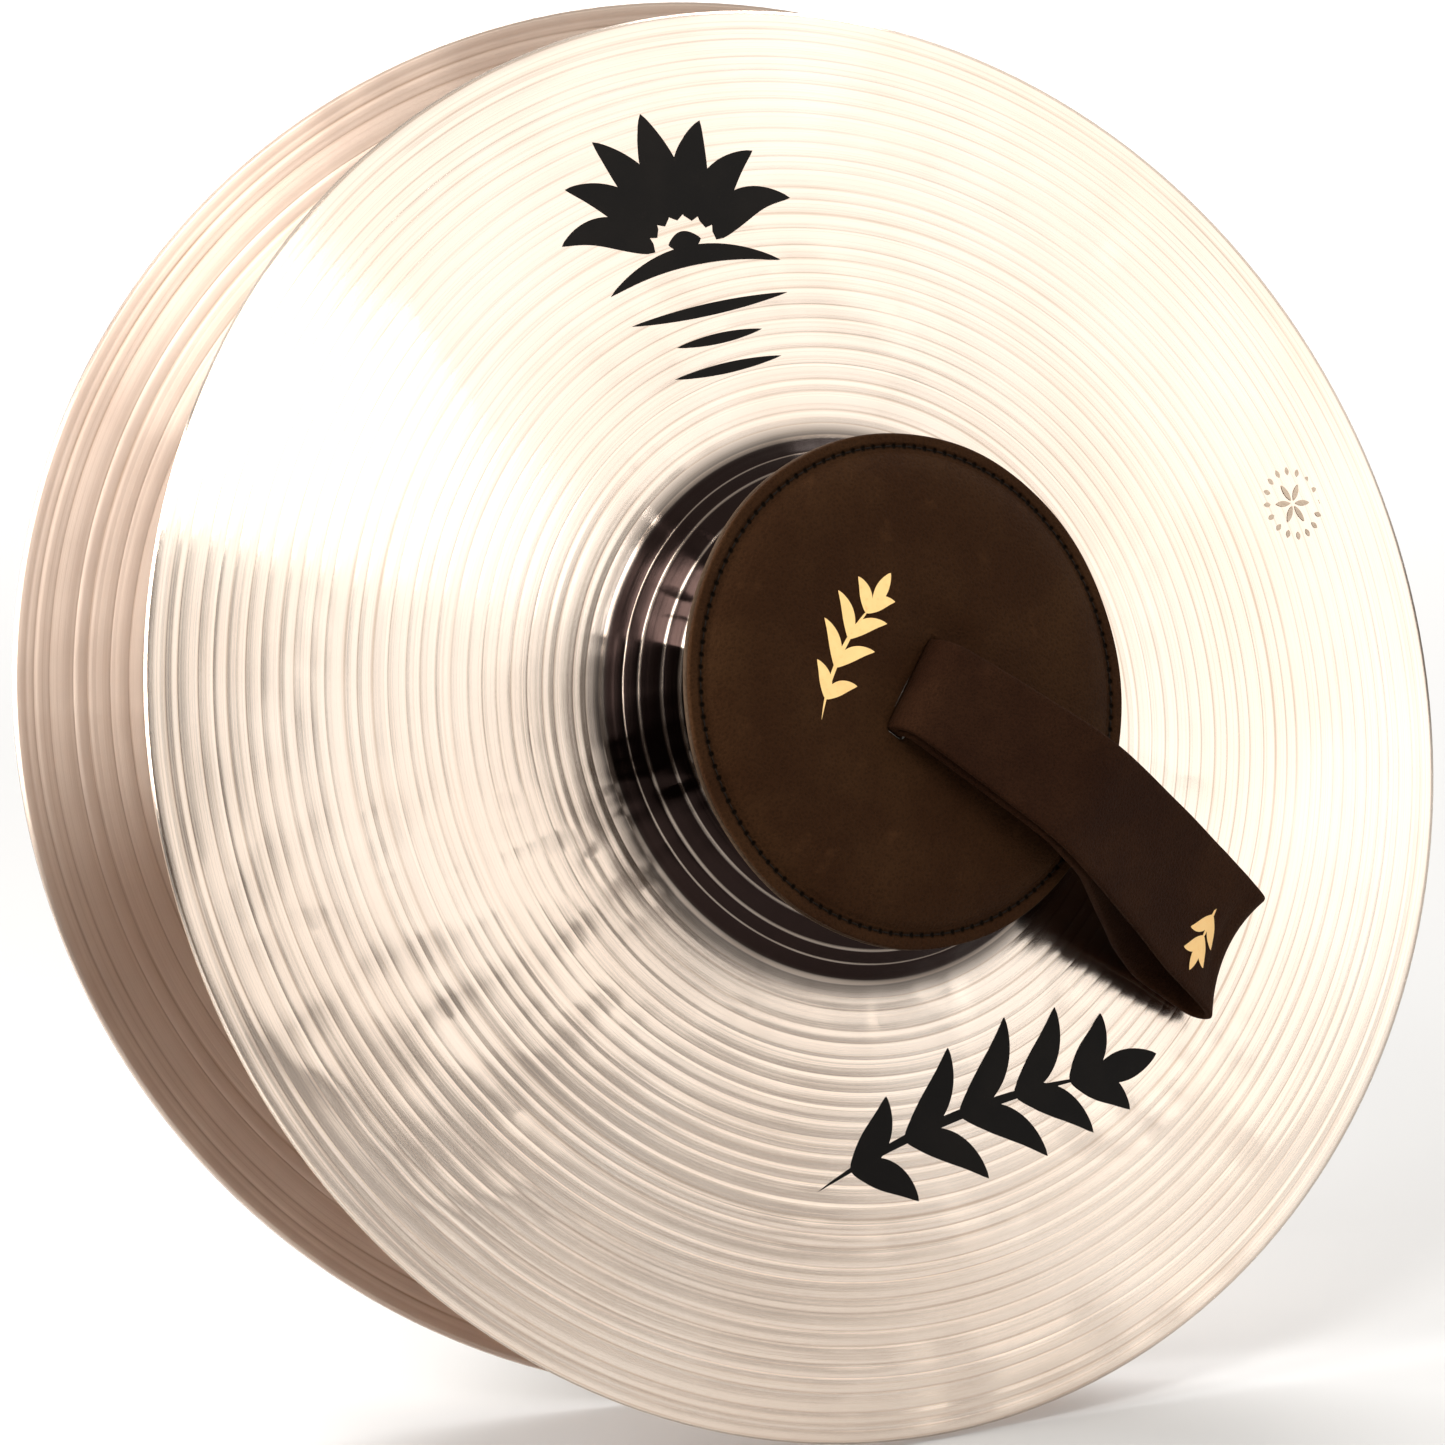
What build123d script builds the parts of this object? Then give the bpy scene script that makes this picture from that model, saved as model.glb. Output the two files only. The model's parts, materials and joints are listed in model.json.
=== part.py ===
"""A pair of 14 inch (36 cm) hand cymbals, each with a round leather pad and a leather hand strap.

Millimetres and degrees, +Z up. The origin is the root of the front strap, on the front
cymbal's axis just above its pad: the point that the player's fist closes on.
Each cymbal is drawn on a seat: a plane in its rim, with its z_dir pointing out of the bell.
Lengths along that axis are heights above the rim plane.
"""

from build123d import *
from math import asin, cos, degrees, radians, sin
import os

os.makedirs("parts", exist_ok=True)

# --- Cymbal plate ---------------------------------------------------------------------------
rim_radius = 177.8           # 14 inch cymbal
plate_thickness = 1.3
rim_slope = 12.0             # slope of the bow where it meets the rim
bow_slope_at_bell = 1.6      # slope of the bow where it meets the cove
bow_radius = 590.0
cove_radius = 10.0
bell_slope = 40.0            # steepest slope, at the foot of the bell
bore_radius = 7.15           # hole for the strap

# --- How the pair is held --------------------------------------------------------------------
lean = 17.9                  # both cymbals lean back from the vertical
rest_opening = 15.0          # angle between the two rims at rest
rim_gap_closed = 0.6         # rims still apart by this much when the pair is closed
clash_axis = (180.7, 39.4)   # X, Y of the upright axis they close about, from the front rim's centre

# --- Pad -------------------------------------------------------------------------------------
pad_radius = 62.0
pad_height = 44.0            # seam of the pad, at the cymbal's axis
pad_tilt = 6.0               # the strap pulls the pad down on its own side
pad_leather = 1.6
margin_radius = 56.5         # the filling ends here and the two leathers meet
shoulder_radius = 46.0
crown_rise = 5.8             # top of the pad over the seam
shoulder_rise = 4.6
belly_drop = 2.9             # underside of the pad below the seam
shoulder_drop = 2.4
stitch_radius = 58.7
stitch_count = 125
stitch_length = 2.1
thread_width = 0.7
thread_proud = 0.4

# --- Strap and knot --------------------------------------------------------------------------
strap_thickness = 2.2
grip_height = 52.4           # root of the strap loop
strap_root_width = 25.0
strap_end_width = 35.0
strap_full_width_at = 100.0  # from here on the loop keeps its full width
tail_width = 6.5             # the strap's ends are slit into four tails
neck_top_clearance = 0.4
neck_shoulder = 45.5         # height where the strap narrows towards the bore
neck_waist = 41.5            # height where it is as narrow as two tails
slot_clearance = 0.5
knot_top = 37.9              # height of the knot's face against the bell
knot_side = 16.0
tail_offset = 5.0            # each tail lies this far to one side of the axis
tail_reach = 27.0
layer_gap = 0.1              # between one tail and the next that it crosses

front_heading = -37.0        # way the strap lies, from the seat's x_dir towards its y_dir
rear_heading = -90.0         # straight down
rear_hang = 29.0             # the rear strap hangs clear of its cymbal by this much


# --- Seats and planes ------------------------------------------------------------------------
def direction(seat, heading):
    """Direction in the rim plane, at an angle from the seat's x_dir."""
    return seat.x_dir * cos(radians(heading)) + seat.y_dir * sin(radians(heading))


def axis_plane(seat, heading, height=0.0):
    """Plane that holds the cymbal's axis: local X along the heading, local Y out of the bell."""
    outward = direction(seat, heading)
    origin = seat.origin + seat.z_dir * height
    return Plane(origin, x_dir=outward, z_dir=outward.cross(seat.z_dir))


def cymbal_axis(seat):
    return Axis(seat.origin, seat.z_dir)


front_axis = Vector(0, -cos(radians(lean)), sin(radians(lean)))
front_seat = Plane(front_axis * -grip_height, x_dir=(1, 0, 0), z_dir=front_axis)

# The rear seat is the front one mirrored in the rim plane, then turned open about the clash axis.
clash_point = front_seat.origin + Vector(*clash_axis, 0)
closed_origin = front_seat.origin - front_axis * rim_gap_closed
rear_origin = clash_point + (closed_origin - clash_point).rotate(Axis.Z, -rest_opening)
rear_axis = (front_axis * -1).rotate(Axis.Z, -rest_opening)
rear_seat = Plane(rear_origin, x_dir=Vector(-1, 0, 0).rotate(Axis.Z, -rest_opening), z_dir=rear_axis)


# --- Cymbal plate ----------------------------------------------------------------------------
def make_plate(seat):
    """Bow, cove and bell spun about the axis, with the bore left open."""
    inner_rim = rim_radius - plate_thickness * sin(radians(rim_slope))
    foot_radius = (inner_rim - bow_radius * (sin(radians(rim_slope)) - sin(radians(bow_slope_at_bell)))
                   - cove_radius * (sin(radians(bell_slope)) - sin(radians(bow_slope_at_bell))))
    bell_radius = foot_radius / sin(radians(bell_slope))
    bell_sweep = bell_slope - degrees(asin(bore_radius / bell_radius))
    start_tangent = (-cos(radians(rim_slope)), sin(radians(rim_slope)))
    with BuildPart() as plate:
        with BuildSketch(axis_plane(seat, 0)):
            with BuildLine():
                bow = JernArc((inner_rim, 0), start_tangent, bow_radius, rim_slope - bow_slope_at_bell)
                cove = JernArc(bow @ 1, bow % 1, cove_radius, bow_slope_at_bell - bell_slope)
                JernArc(cove @ 1, cove % 1, bell_radius, bell_sweep)
                offset(amount=plate_thickness, side=Side.RIGHT)
            make_face()
        revolve(axis=cymbal_axis(seat))
    return plate.part


# --- Pad -------------------------------------------------------------------------------------
def pad_seat(seat, heading):
    """Plane of the pad's seam, tilted down on the strap's side."""
    outward = direction(seat, heading)
    tilt_axis = Axis((0, 0, 0), outward.cross(seat.z_dir))
    return Plane(seat.origin + seat.z_dir * pad_height,
                 x_dir=outward.rotate(tilt_axis, -pad_tilt), z_dir=seat.z_dir.rotate(tilt_axis, -pad_tilt))


def puffed_edge(centre, shoulder, margin):
    """Half of a pad face, from the axis to the margin: (radius, height) of its three points."""
    crown = TangentArc((0, centre), (shoulder_radius, shoulder), tangent=(1, 0))
    return TangentArc(crown @ 1, (margin_radius, margin), tangent=crown % 1)


def make_pad_layer(seat, heading, top, bottom, rim_top, rim_bottom):
    """Spun layer of the pad between two faces, with a slot for the strap's neck."""
    seam = pad_seat(seat, heading)
    with BuildPart() as layer:
        with BuildSketch(axis_plane(seam, 0)):
            with BuildLine():
                upper = puffed_edge(*top)
                lower = puffed_edge(*bottom)
                Line((0, top[0]), (0, bottom[0]))
                if rim_top > rim_bottom:
                    Polyline(upper @ 1, (pad_radius, rim_top), (pad_radius, rim_bottom), lower @ 1)
            make_face()
        revolve(axis=cymbal_axis(seam))
        with BuildSketch(Plane(seat.origin, x_dir=direction(seat, heading), z_dir=seat.z_dir)):
            Rectangle(2 * (strap_thickness + slot_clearance), strap_root_width + 2 * slot_clearance)
        extrude(amount=2 * pad_height, mode=Mode.SUBTRACT)
    return layer.part


cover_top = (crown_rise, shoulder_rise, pad_leather)
core_top = (crown_rise - pad_leather, shoulder_rise - pad_leather, 0)
core_bottom = (pad_leather - belly_drop, pad_leather - shoulder_drop, 0)
lining_bottom = (-belly_drop, -shoulder_drop, -pad_leather)


def make_stitching(seat, heading):
    """Ring of thread lying on both faces of the pad's margin."""
    seam = pad_seat(seat, heading)
    with BuildPart() as stitching:
        for face, reach in ((pad_leather, thread_proud), (-pad_leather, -thread_proud)):
            with BuildSketch(seam.offset(face)):
                with PolarLocations(stitch_radius, stitch_count):
                    SlotOverall(stitch_length, thread_width, rotation=90)
            extrude(amount=reach)
    return stitching.part


# --- Strap -----------------------------------------------------------------------------------
def loop_plane(seat, heading, hang):
    """Side view of the strap loop: origin at its root, local X along the loop."""
    flat = axis_plane(seat, heading, grip_height)
    lift = Axis((0, 0, 0), flat.z_dir)
    return Plane(flat.origin, x_dir=flat.x_dir.rotate(lift, hang), z_dir=flat.z_dir)


def make_loop(seat, heading, hang):
    """Grip of the strap: out over the pad, down to the plate, folded, and back underneath."""
    side = loop_plane(seat, heading, hang)
    half = strap_thickness / 2
    with BuildPart() as loop:
        with BuildSketch(side):
            with BuildLine():
                FilletPolyline((0, half), (5, 3.1), (50, 1.8), (80, -12.6), (121.3, -33.6), (118.6, -39.8),
                               (100, -38.2), (88, -31.0), (61, -6.6), (48, -1.6), (0, -half),
                               radius=(4, 30, 60, 3, 3, 14, 20, 12, 12))
                offset(amount=half, side=Side.BOTH)
            make_face()
            Circle(strap_thickness)
        extrude(amount=strap_end_width / 2, both=True)
        with BuildSketch(Plane(side.origin, x_dir=side.x_dir, z_dir=side.y_dir).offset(-strap_full_width_at)):
            with BuildLine():
                Polyline((-2 * strap_thickness, strap_root_width / 2), (0, strap_root_width / 2),
                         (strap_full_width_at, strap_end_width / 2), (2 * strap_full_width_at, strap_end_width / 2),
                         (2 * strap_full_width_at, 0), (-2 * strap_thickness, 0), close=True)
            make_face()
            mirror(about=Plane.XZ)
        extrude(amount=2 * strap_full_width_at, mode=Mode.INTERSECT)
    return loop.part


def make_neck(seat, heading):
    """Two leather thicknesses through pad and bore, spread square against the inside of the bell."""
    top = grip_height - strap_thickness - neck_top_clearance
    half_root = strap_root_width / 2
    with BuildPart() as neck:
        with BuildSketch(axis_plane(seat, heading + 90)):
            with BuildLine():
                Polyline((0, top), (half_root, top), (half_root, neck_shoulder), (tail_width, neck_waist),
                         (tail_width, knot_top), (0, knot_top), close=True)
            make_face()
            mirror(about=Plane.YZ)
        extrude(amount=strap_thickness, both=True)
        with BuildSketch(Plane(seat.origin + seat.z_dir * knot_top, x_dir=direction(seat, heading),
                               z_dir=seat.z_dir)):
            Rectangle(knot_side, knot_side)
        extrude(amount=-strap_thickness)
    return neck.part


def make_tail(seat, heading):
    """Tail of the square knot: folded round the neck's foot, under one tail and over the next."""
    layer = strap_thickness + layer_gap
    folded = knot_top - strap_thickness / 2
    low, high = folded - layer, folded - 2 * layer
    fold_at = -(knot_side + strap_thickness) / 2
    half_ramp = 0.5 * (tail_offset - tail_width / 2)
    with BuildPart() as tail:
        with BuildSketch(axis_plane(seat, heading).offset(tail_offset)):
            with BuildLine():
                fold = JernArc((fold_at, folded), (-1, 0), layer / 2, 180)
                FilletPolyline(fold @ 1, (-half_ramp, low), (half_ramp, high), (tail_reach, high), radius=1.2)
                offset(amount=strap_thickness / 2, side=Side.BOTH)
            make_face()
        extrude(amount=tail_width / 2, both=True)
    return tail.part


# --- Both cymbals ----------------------------------------------------------------------------
def save(part, name):
    part.label = name
    export_step(part, f"parts/{name}.step")


for side, seat, heading, hang in (("front", front_seat, front_heading, 0.0),
                                  ("rear", rear_seat, rear_heading, rear_hang)):
    save(make_plate(seat), f"{side}_cymbal")
    save(make_pad_layer(seat, heading, cover_top, core_top, pad_leather, 0), f"{side}_pad_cover")
    save(make_pad_layer(seat, heading, core_top, core_bottom, 0, 0), f"{side}_pad_core")
    save(make_pad_layer(seat, heading, core_bottom, lining_bottom, 0, -pad_leather), f"{side}_pad_lining")
    save(make_stitching(seat, heading), f"{side}_pad_stitching")
    save(make_loop(seat, heading, hang), f"{side}_strap_loop")
    save(make_neck(seat, heading), f"{side}_strap_neck")
    for number in range(4):
        save(make_tail(seat, heading + 90 * number), f"{side}_knot_tail_{number + 1}")
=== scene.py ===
"""A pair of hand cymbals with leather pads and straps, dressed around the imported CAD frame.

Lengths in the helpers below are millimetres unless a name ends in _m; MM turns them into metres.
Texture scales are per metre. Each cymbal is described on its own seat: origin in the middle of the
rim plane, Z out of the bell. Seats come from the record's joints.
"""

import json
import math

import bmesh
import bpy
import numpy as np
from mathutils import Matrix, Vector, noise


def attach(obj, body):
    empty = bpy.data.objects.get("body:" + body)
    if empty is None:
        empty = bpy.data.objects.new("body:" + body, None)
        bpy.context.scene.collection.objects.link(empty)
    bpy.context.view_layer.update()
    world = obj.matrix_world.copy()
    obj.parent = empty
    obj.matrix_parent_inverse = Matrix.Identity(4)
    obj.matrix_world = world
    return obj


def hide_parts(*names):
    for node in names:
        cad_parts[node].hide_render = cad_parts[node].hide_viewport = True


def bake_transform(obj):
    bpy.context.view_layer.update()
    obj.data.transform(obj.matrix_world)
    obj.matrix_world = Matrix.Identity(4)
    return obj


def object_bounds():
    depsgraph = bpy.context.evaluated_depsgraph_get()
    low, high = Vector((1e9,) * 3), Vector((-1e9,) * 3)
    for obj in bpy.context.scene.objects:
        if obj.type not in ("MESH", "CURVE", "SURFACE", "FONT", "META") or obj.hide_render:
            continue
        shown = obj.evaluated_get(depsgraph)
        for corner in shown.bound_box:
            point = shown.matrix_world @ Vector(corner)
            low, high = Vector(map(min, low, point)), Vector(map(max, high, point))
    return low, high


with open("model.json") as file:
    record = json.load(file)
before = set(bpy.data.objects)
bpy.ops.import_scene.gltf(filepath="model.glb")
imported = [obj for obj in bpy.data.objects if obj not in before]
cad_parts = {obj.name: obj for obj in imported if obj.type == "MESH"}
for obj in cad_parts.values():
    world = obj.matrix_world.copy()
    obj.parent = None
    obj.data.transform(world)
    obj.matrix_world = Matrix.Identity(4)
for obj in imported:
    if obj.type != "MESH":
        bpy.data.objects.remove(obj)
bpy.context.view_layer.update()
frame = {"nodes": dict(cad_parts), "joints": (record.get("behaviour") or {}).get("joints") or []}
MM = 0.001
FULL_TURN = 2 * math.pi
joints = {j["name"]: j for j in frame["joints"]}

# --- Cymbal plate, as in the CAD -----------------------------------------------------------------
RIM_RADIUS = 177.8
PLATE = 1.3
RIM_SLOPE, BOW_SLOPE, BELL_SLOPE = (math.radians(a) for a in (12.0, 1.6, 40.0))
BOW_RADIUS, COVE_RADIUS, BORE_RADIUS = 590.0, 10.0, 7.15
# --- Pad and strap, as in the CAD ----------------------------------------------------------------
PAD_RADIUS, PAD_HEIGHT, PAD_TILT = 62.0, 44.0, math.radians(6.0)
LEATHER, STITCH_RADIUS, STITCHES = 1.6, 58.7, 125
STRAP, ROOT_WIDTH, END_WIDTH, FULL_WIDTH_AT = 2.2, 25.0, 35.0, 100.0


def smooth(edge0, edge1, x):
    """Smooth step from 0 at edge0 to 1 at edge1; edge0 may be the larger one."""
    t = np.clip((np.asarray(x, float) - edge0) / (edge1 - edge0), 0, 1)
    return t * t * (3 - 2 * t)


# --- Mesh helpers --------------------------------------------------------------------------------
def make_object(name, verts, faces, matrix, facing=Vector((0, 0, 1))):
    """Smooth mesh object from vertices in millimetres in the frame of matrix, its faces turned
    outwards, or towards `facing` on an open sheet. The mesh data ends up in the row frame and the
    object's own transform stays the identity, so that its bounding box is tight."""
    mesh = bpy.data.meshes.new(name)
    mesh.from_pydata((np.asarray(verts, float) * MM).tolist(), [], faces)
    mesh.validate()
    mesh.polygons.foreach_set("use_smooth", [True] * len(mesh.polygons))
    mesh.update()
    edit = bmesh.new()
    edit.from_mesh(mesh)
    if all(edge.is_manifold for edge in edit.edges):
        if edit.calc_volume(signed=True) < 0:
            bmesh.ops.reverse_faces(edit, faces=edit.faces)
    elif sum(face.normal.dot(facing) * face.calc_area() for face in edit.faces) < 0:
        bmesh.ops.reverse_faces(edit, faces=edit.faces)
    edit.transform(matrix)
    edit.to_mesh(mesh)
    edit.free()
    obj = bpy.data.objects.new(name, mesh)
    bpy.context.scene.collection.objects.link(obj)
    return obj


def ring_faces(rings, around, closed_rings=False):
    """Quads between successive rings of `around` vertices each."""
    faces = []
    for i in range(rings if closed_rings else rings - 1):
        a, b = i * around, ((i + 1) % rings) * around
        for j in range(around):
            k = (j + 1) % around
            faces.append((a + j, a + k, b + k, b + j))
    return faces


def seat_matrix(origin_m, x, z):
    """Right-handed frame with the given origin, X and Z."""
    matrix = Matrix((x, z.cross(x), z)).transposed().to_4x4()
    matrix.translation = origin_m
    return matrix


def ring_angles(around):
    return np.linspace(0, FULL_TURN, around, endpoint=False)


# --- Materials -----------------------------------------------------------------------------------
class Nodes:
    """Small builder for the node tree of a material or of the world."""

    def __init__(self, owner):
        owner.use_nodes = True
        self.owner = owner
        self.tree = owner.node_tree
        self.shader = self.tree.nodes.get("Principled BSDF")

    def feed(self, socket, value):
        """Link an input, or give it a value; a colour is a plain triple."""
        if isinstance(value, bpy.types.NodeSocket):
            self.tree.links.new(value, socket)
        elif socket.type == "RGBA":
            socket.default_value = (*value, 1)
        else:
            socket.default_value = value

    def add(self, kind, inputs, **settings):
        node = self.tree.nodes.new(kind)
        for key, value in settings.items():
            setattr(node, key, value)
        for key, value in inputs.items():
            self.feed(node.inputs[key], value)
        return node

    def set(self, **inputs):
        """Feed the material's shader; returns the material."""
        for key, value in inputs.items():
            self.feed(self.shader.inputs[key.replace("_", " ")], value)
        return self.owner

    def math(self, operation, *values):
        return self.add("ShaderNodeMath", dict(enumerate(values)), operation=operation).outputs[0]

    def times(self, a, b):
        return self.math("MULTIPLY", a, b)

    def plus(self, a, b):
        return self.math("ADD", a, b)

    def length(self, a, b):
        return self.math("SQRT", self.plus(self.times(a, a), self.times(b, b)))

    def ramp(self, value, low, high, to_low=0.0, to_high=1.0):
        node = self.add("ShaderNodeMapRange", {"Value": value, "From Min": low, "From Max": high,
                                              "To Min": to_low, "To Max": to_high},
                        interpolation_type="SMOOTHSTEP")
        return node.outputs["Result"]

    def mix(self, factor, a, b):
        """Mix of two colours, through the numbered sockets of the node's colour mode."""
        return self.add("ShaderNodeMix", {0: factor, 6: a, 7: b}, data_type="RGBA").outputs[2]

    def coords(self, seat=None):
        """Position on the resting object, in the row frame or in a seat's."""
        p = self.add("ShaderNodeTexCoord", {}).outputs["Object"]
        if seat is None:
            return p
        return self.add("ShaderNodeMapping", {"Vector": p, "Location": seat.translation,
                                              "Rotation": seat.to_euler()},
                        vector_type="TEXTURE").outputs[0]

    def flat(self, vector):
        """X and Y of a vector."""
        xyz = self.add("ShaderNodeSeparateXYZ", {0: vector})
        return xyz.outputs["X"], xyz.outputs["Y"]

    def combine(self, x, y, z):
        return self.add("ShaderNodeCombineXYZ", {"X": x, "Y": y, "Z": z}).outputs[0]

    def vector_math(self, operation, a, b):
        return self.add("ShaderNodeVectorMath", {0: a, 1: b}, operation=operation)

    def noise(self, vector, scale, detail=3.0, roughness=0.55, distortion=0.0, output="Fac"):
        node = self.add("ShaderNodeTexNoise", {"Vector": vector, "Scale": scale, "Detail": detail,
                                               "Roughness": roughness, "Distortion": distortion})
        return node.outputs[output]

    def noise_1d(self, value, scale, detail, roughness=0.5):
        node = self.add("ShaderNodeTexNoise", {"W": self.times(value, scale), "Scale": 1.0,
                                               "Detail": detail, "Roughness": roughness},
                        noise_dimensions="1D")
        return node.outputs["Fac"]

    def cells(self, vector, scale):
        """Distance to the nearest cell's middle."""
        return self.add("ShaderNodeTexVoronoi", {"Vector": vector, "Scale": scale}).outputs["Distance"]

    def soft_cells(self, vector, scale, smoothness, randomness=1.0):
        node = self.add("ShaderNodeTexVoronoi", {"Vector": vector, "Scale": scale,
                                                 "Randomness": randomness}, feature="SMOOTH_F1")
        node.inputs["Smoothness"].default_value = smoothness
        return node.outputs["Distance"]

    def bump(self, height, distance, strength=1.0, normal=None):
        inputs = {"Height": height, "Distance": distance, "Strength": strength}
        if normal is not None:
            inputs["Normal"] = normal
        return self.add("ShaderNodeBump", inputs).outputs["Normal"]


def new_material(name):
    return Nodes(bpy.data.materials.new(name))


LATHE_PITCH = 3.8
# the outer face's last entry sets how strongly the bell gets its painted dark reflection
OUTER_BRONZE = dict(dull=(0.90, 0.765, 0.655), polished=(0.94, 0.83, 0.735), line_depth=0.130,
                    line_pitch=LATHE_PITCH, wear=0.60, dent_depth=0.80, roughness=0.17,
                    anisotropy=0.90, bell_reflection_paint=0.99)
# the inside's darker, browner tones: partly a duller, less polished finish, partly painted shade for the
# gap between the two plates
INNER_BRONZE = dict(dull=(0.64, 0.505, 0.42), polished=(0.76, 0.63, 0.535), line_depth=0.150,
                    line_pitch=5.0, wear=0.95, dent_depth=0.30, roughness=0.40,
                    anisotropy=0.90, bell_reflection_paint=0.0)
GROOVE_BROWN, HAZE_BROWN = (0.42, 0.29, 0.205), (0.60, 0.45, 0.33)
# painted reflection: the near-black the bell is darkened towards, in place of the dark surroundings it
# mirrors
PAINTED_REFLECTION_BLACK = (0.012, 0.0055, 0.005)
FINE_RING_HEIGHT = 0.030
PAINTED_REFLECTION_FULL, PAINTED_REFLECTION_END = 66, 74                    # radii
HAMMER_ROUND, HAMMER_OUT, HAMMER_SCALE = 0.085, 0.62, 105.0
HAMMER_FIELD_ROUND, HAMMER_FIELD_OUT = 1.1, 16.0
LATHE_UV = "lathe"
TANGENT_QUARTER_TURN = 0.25


def bronze(name, seat, dull, polished, line_depth, line_pitch, wear, dent_depth, roughness,
           anisotropy, bell_reflection_paint):
    """Lathed and polished bronze: turned rings, hammer marks, a thin brown patina in the grooves and,
    by its last argument, a near-black painted reflection and shade over the bell. Depths are millimetres."""
    n = new_material(name)
    p = n.coords(seat)
    x, y = n.flat(p)
    r = n.length(x, y)
    cosine, sine = n.math("DIVIDE", x, r), n.math("DIVIDE", y, r)
    # rings of the lathe, unevenly spaced
    wander = n.noise_1d(r, 210.0, detail=2.0)
    phase = n.plus(n.times(r, math.pi / (line_pitch * MM)), n.times(wander, 2.2))
    scallop = n.math("ABSOLUTE", n.math("SINE", phase))
    fine = n.noise_1d(r, 1500.0, detail=4.0, roughness=0.7)
    # where the rings are crisp and where the buffing has softened them
    patches = n.noise(p, 14.0)
    crisp = n.ramp(patches, 0.35, 0.68, to_low=0.35)
    line = n.times(n.ramp(scallop, 0.0, 0.30, 1.0, 0.0), crisp)
    # hammer marks in uneven rows; sine and cosine in place of the angle leave no seam
    polar = n.combine(n.times(cosine, HAMMER_ROUND), n.times(sine, HAMMER_ROUND), n.times(r, HAMMER_OUT))
    field_at = n.combine(n.times(cosine, HAMMER_FIELD_ROUND), n.times(sine, HAMMER_FIELD_ROUND),
                         n.times(r, HAMMER_FIELD_OUT))
    field = n.ramp(n.noise(field_at, 1.6, detail=1.0), 0.42, 0.62)
    dents = n.times(n.soft_cells(polar, HAMMER_SCALE, smoothness=0.7, randomness=0.8), field)
    height = n.plus(n.times(scallop, line_depth),
                    n.plus(n.times(fine, FINE_RING_HEIGHT), n.times(dents, dent_depth)))
    normal = n.bump(height, MM)
    # colour: paler where it is polished, browner in the grooves and the finest rings
    cloud = n.noise(p, 9.0, detail=4.0, roughness=0.6)
    tone = n.mix(n.ramp(cloud, 0.35, 0.7), dull, polished)
    tone = n.mix(n.times(line, wear), tone, GROOVE_BROWN)
    tone = n.mix(n.times(n.ramp(fine, 0.50, 0.66), 0.22), tone, HAZE_BROWN)
    # painted reflection and shade: the bell darkened to near-black as if it mirrored dark surroundings,
    # most between its rings, less on them
    bell = n.ramp(r, PAINTED_REFLECTION_FULL * MM, PAINTED_REFLECTION_END * MM, 1.0, 0.0)
    reflection_ring_mask = n.ramp(n.plus(scallop, n.times(patches, 0.5)), 0.25, 0.60, to_low=0.62)
    tone = n.mix(n.times(n.times(bell, reflection_ring_mask), bell_reflection_paint), tone, PAINTED_REFLECTION_BLACK)
    rough = n.plus(n.ramp(patches, 0.3, 0.7, roughness, roughness + 0.06), n.times(fine, 0.03))
    tangent = n.add("ShaderNodeTangent", {}, direction_type="UV_MAP", uv_map=LATHE_UV).outputs[0]
    return n.set(Base_Color=tone, Metallic=1.0, Roughness=rough, Normal=normal, Tangent=tangent,
                 Anisotropic=anisotropy, Anisotropic_Rotation=TANGENT_QUARTER_TURN)


def leather(name, dark, light, grain, depth, roughness, specular, creases=0.0):
    """Dyed leather: pebbled grain, pores, rubbed high spots and soft creases."""
    n = new_material(name)
    p = n.coords()
    stray = n.noise(p, grain * 0.35, detail=2.0, roughness=0.5, output="Color")
    warp = n.vector_math("ADD", p, n.vector_math("MULTIPLY", stray, (0.9 * MM,) * 3).outputs[0]).outputs[0]
    pebbles = n.cells(warp, grain)
    pits = n.soft_cells(warp, grain * 2.3, smoothness=0.5)
    fibres = n.noise(p, grain * 3.0, detail=4.0, roughness=0.65)
    folds = n.noise(p, 60.0, detail=4.0, roughness=0.6, distortion=0.4)
    height = n.plus(n.plus(n.times(pebbles, 0.7), n.times(pits, 0.35)), n.times(fibres, 0.5))
    normal = n.bump(height, depth * MM, 0.9)
    normal = n.bump(folds, (0.12 + creases) * MM, 0.6, normal)
    blotch = n.noise(p, 38.0, detail=5.0, roughness=0.62)
    tone = n.mix(n.ramp(blotch, 0.34, 0.70), dark, light)
    between = n.times(n.ramp(pebbles, 0.15, 0.6, 1.0, 0.0), 0.35)
    tone = n.mix(between, tone, tuple(c * 0.45 for c in dark))
    rubbed = n.times(n.ramp(n.noise(p, 95.0, detail=5.0, roughness=0.7), 0.58, 0.78), 0.35)
    tone = n.mix(rubbed, tone, tuple(c * 1.9 for c in light))
    rough = n.ramp(n.plus(n.times(fibres, 0.5), n.times(blotch, 0.5)),
                   0.3, 0.7, roughness - 0.07, roughness + 0.09)
    return n.set(Base_Color=tone, Roughness=rough, Normal=normal, Specular_IOR_Level=specular,
                 Specular_Tint=(1.0, 0.66, 0.42), Sheen_Weight=0.01, Sheen_Roughness=0.5,
                 Sheen_Tint=(0.55, 0.34, 0.20))


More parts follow.
